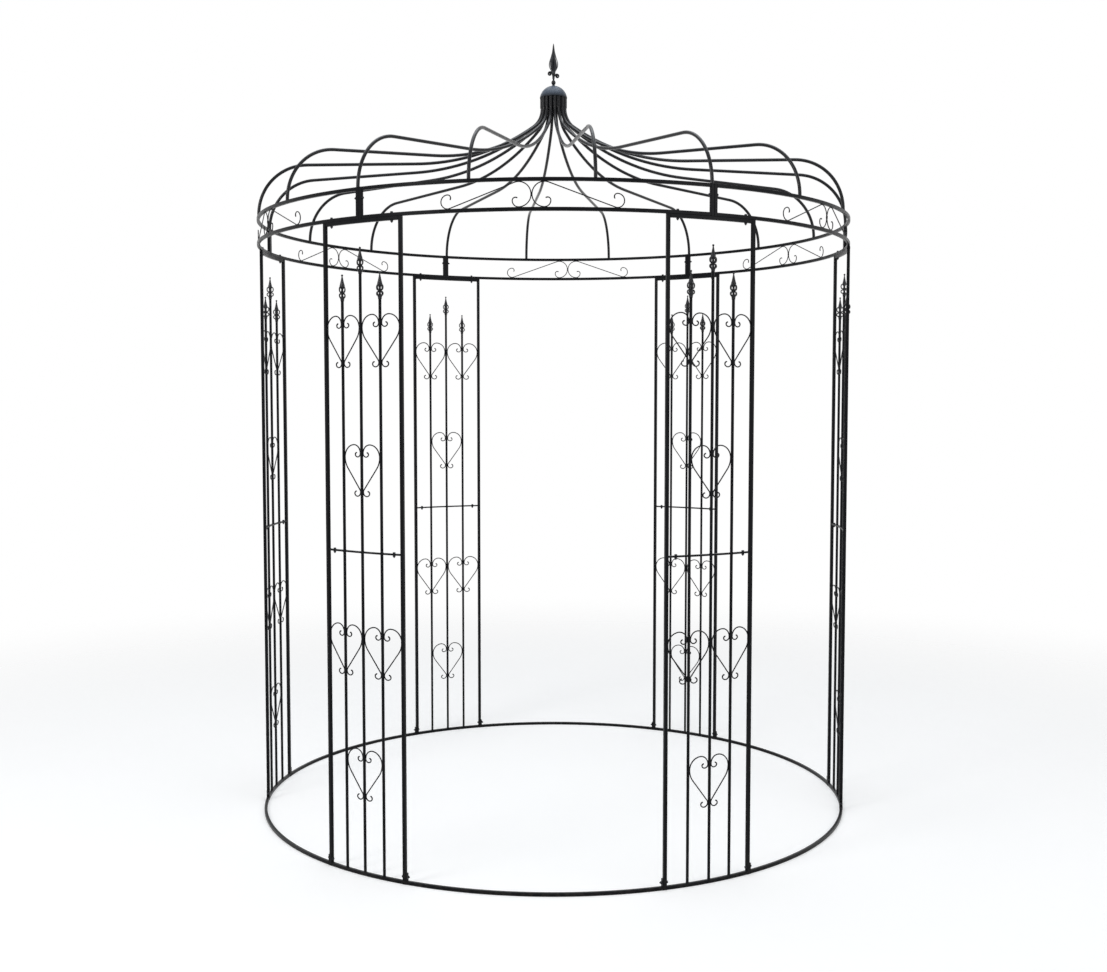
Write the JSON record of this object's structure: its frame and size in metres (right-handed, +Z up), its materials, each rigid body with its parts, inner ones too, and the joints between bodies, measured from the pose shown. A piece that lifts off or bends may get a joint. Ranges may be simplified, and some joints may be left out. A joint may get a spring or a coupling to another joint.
{
  "type": "metal rose pavilion",
  "caption": "Round garden rose pavilion of black powder-coated steel: curved lattice columns with heart scrolls, ring beam and ogee roof bars under a domed cap.",
  "frame": {"origin": "centre of the ring at ground level", "axes": "+Z up, front doorway towards -Y"},
  "size_m": [2.344, 2.3248, 3.0263],
  "materials": {
    "powder_coat": "satin",
    "cast_black": "semi-gloss"
  },
  "bodies": {
    "root": {"lower_panel_1": "powder_coat", "lower_panel_2": "powder_coat", "lower_panel_3": "powder_coat", "lower_panel_4": "powder_coat", "lower_panel_5": "powder_coat", "lower_panel_6": "powder_coat", "upper_panel_1": "powder_coat", "upper_panel_2": "powder_coat", "upper_panel_3": "powder_coat", "upper_panel_4": "powder_coat", "upper_panel_5": "powder_coat", "upper_panel_6": "powder_coat", "ground_rail_1": "powder_coat", "ground_rail_2": "powder_coat", "ground_rail_3": "powder_coat", "ground_rail_4": "powder_coat", "ground_rail_5": "powder_coat", "ground_rail_6": "powder_coat", "ring_beam_1": "powder_coat", "ring_beam_2": "powder_coat", "ring_beam_3": "powder_coat", "ring_beam_4": "powder_coat", "ring_beam_5": "powder_coat", "ring_beam_6": "powder_coat", "roof_bar_1": "powder_coat", "roof_bar_2": "powder_coat", "roof_bar_3": "powder_coat", "roof_bar_4": "powder_coat", "roof_bar_5": "powder_coat", "roof_bar_6": "powder_coat", "roof_bar_7": "powder_coat", "roof_bar_8": "powder_coat", "roof_bar_9": "powder_coat", "roof_bar_10": "powder_coat", "roof_bar_11": "powder_coat", "roof_bar_12": "powder_coat", "roof_bar_13": "powder_coat", "roof_bar_14": "powder_coat", "roof_bar_15": "powder_coat", "roof_bar_16": "powder_coat", "roof_bar_17": "powder_coat", "roof_bar_18": "powder_coat", "roof_cap": "powder_coat", "finial": "cast_black"}
  },
  "joints": []
}
